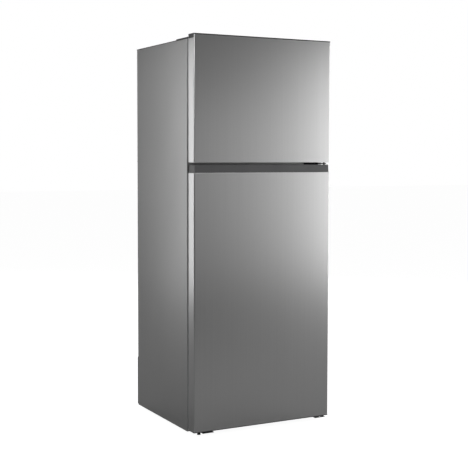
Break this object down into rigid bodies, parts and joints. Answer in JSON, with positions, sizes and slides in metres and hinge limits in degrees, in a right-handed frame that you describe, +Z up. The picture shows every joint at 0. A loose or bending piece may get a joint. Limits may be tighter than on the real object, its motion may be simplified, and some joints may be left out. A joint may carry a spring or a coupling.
{
  "type": "top freezer refrigerator",
  "caption": "Free-standing two-door refrigerator with the freezer on top, right-hinged brushed steel doors, finger-grip strip between the doors and a fitted interior",
  "frame": {"origin": "on the floor, at the middle of the bounding box's base", "axes": "+Z up, doors face -Y, door hinges at +X"},
  "size_m": [0.7, 0.651, 1.776],
  "materials": {
    "painted_steel": "grey pre-painted sheet, semi-gloss",
    "galvanised_steel": "zinc-coated sheet",
    "foam": "rigid polyurethane foam",
    "white_plastic": "thermoformed polystyrene",
    "dark_plastic": "dark grey moulding",
    "black_steel": "black enamel",
    "rubber": "moulded rubber",
    "gasket": "soft grey vinyl",
    "nylon": "moulded nylon",
    "fin_aluminium": "bare fins",
    "shelf_glass": "toughened clear glass",
    "clear_plastic": "clear polystyrene",
    "brushed_skin": "vertically brushed stainless sheet"
  },
  "bodies": {
    "cabinet": {"cabinet_foam": "foam", "side_panel_left": "painted_steel", "side_panel_right": "painted_steel", "top_panel": "painted_steel", "rear_panel": "galvanised_steel", "bottom_panel": "galvanised_steel", "centre_rail": "painted_steel", "freezer_liner": "white_plastic", "fridge_liner": "white_plastic", "hinge_cover": "dark_plastic", "top_hinge": "galvanised_steel", "middle_hinge": "black_steel", "lower_hinge": "black_steel", "foot_bracket": "black_steel", "compressor_deck": "galvanised_steel", "compressor": "black_steel", "terminal_cover": "dark_plastic", "drain_pan": "dark_plastic", "condenser": "black_steel", "rear_cover": "dark_plastic", "cord_gland": "rubber", "evaporator": "fin_aluminium", "evaporator_cover": "white_plastic", "fan_motor": "dark_plastic", "freezer_shelf": "shelf_glass", "ice_maker_frame": "white_plastic", "glass_shelf_lower": "shelf_glass", "glass_shelf_middle": "shelf_glass", "glass_shelf_upper": "shelf_glass", "crisper_cover": "shelf_glass", "air_duct": "white_plastic", "control_housing": "white_plastic", "lamp_lens": "clear_plastic"},
    "freezer_door": {"freezer_door_foam": "foam", "freezer_door_skin": "brushed_skin", "freezer_top_cap": "dark_plastic", "freezer_bottom_cap": "dark_plastic", "freezer_door_liner": "white_plastic", "freezer_gasket": "gasket", "freezer_bin_lower": "clear_plastic", "freezer_bin_upper": "clear_plastic"},
    "fridge_door": {"fridge_door_foam": "foam", "fridge_door_skin": "brushed_skin", "fridge_grip": "dark_plastic", "fridge_bottom_cap": "dark_plastic", "fridge_door_liner": "white_plastic", "fridge_gasket": "gasket", "bottle_bin": "clear_plastic", "door_bin": "clear_plastic", "dairy_bin": "clear_plastic"},
    "dairy_flap": {"dairy_lid": "clear_plastic"},
    "crisper": {"crisper_drawer": "clear_plastic"},
    "ice_drawer": {"ice_box": "clear_plastic"},
    "ice_tray_body": {"ice_tray": "nylon"},
    "fan": {"evaporator_fan": "nylon"},
    "knob": {"temperature_knob": "dark_plastic"},
    "roller_left": {"rear_roller_left": "nylon"},
    "roller_right": {"rear_roller_right": "nylon"},
    "foot_left": {"levelling_foot_left": "rubber"},
    "foot_right": {"levelling_foot_right": "rubber"}
  },
  "joints": [
    {"name": "freezer_door_hinge", "type": "hinge", "parent": "cabinet", "child": "freezer_door", "pos_m": [0.334, -0.3035, 1.217], "axis": [0, 0, 1], "range_deg": [0, 110]},
    {"name": "fridge_door_hinge", "type": "hinge", "parent": "cabinet", "child": "fridge_door", "pos_m": [0.334, -0.3035, 0.025], "axis": [0, 0, 1], "range_deg": [0, 110]},
    {"name": "dairy_lid_hinge", "type": "hinge", "parent": "fridge_door", "child": "dairy_flap", "pos_m": [0, -0.2535, 1.084], "axis": [1, 0, 0], "range_deg": [0, 60]},
    {"name": "crisper_slide", "type": "slide", "parent": "cabinet", "child": "crisper", "axis": [0, -1, 0], "range_m": [0, 0.035]},
    {"name": "ice_box_slide", "type": "slide", "parent": "cabinet", "child": "ice_drawer", "axis": [0, -1, 0], "range_m": [0, 0.022]},
    {"name": "ice_tray_twist", "type": "hinge", "parent": "cabinet", "child": "ice_tray_body", "pos_m": [-0.213, -0.1525, 1.5903], "axis": [0, 1, 0], "range_deg": [0, 110], "stiffness_Nm_per_rad": 0.25},
    {"name": "evaporator_fan_spin", "type": "hinge", "parent": "cabinet", "child": "fan", "pos_m": [0, 0.2005, 1.567], "axis": [0, 1, 0], "continuous": true},
    {"name": "temperature_knob_turn", "type": "hinge", "parent": "cabinet", "child": "knob", "pos_m": [0.075, -0.0845, 1.1645], "axis": [0, -1, 0], "range_deg": [-135, 135]},
    {"name": "rear_roller_left_spin", "type": "hinge", "parent": "cabinet", "child": "roller_left", "pos_m": [-0.28, 0.2685, 0.018], "axis": [1, 0, 0], "continuous": true},
    {"name": "rear_roller_right_spin", "type": "hinge", "parent": "cabinet", "child": "roller_right", "pos_m": [0.28, 0.2685, 0.018], "axis": [1, 0, 0], "continuous": true},
    {"name": "levelling_foot_left_screw", "type": "slide", "parent": "cabinet", "child": "foot_left", "axis": [0, 0, -1], "range_m": [0, 0.008]},
    {"name": "levelling_foot_right_screw", "type": "slide", "parent": "cabinet", "child": "foot_right", "axis": [0, 0, -1], "range_m": [0, 0.008]}
  ]
}
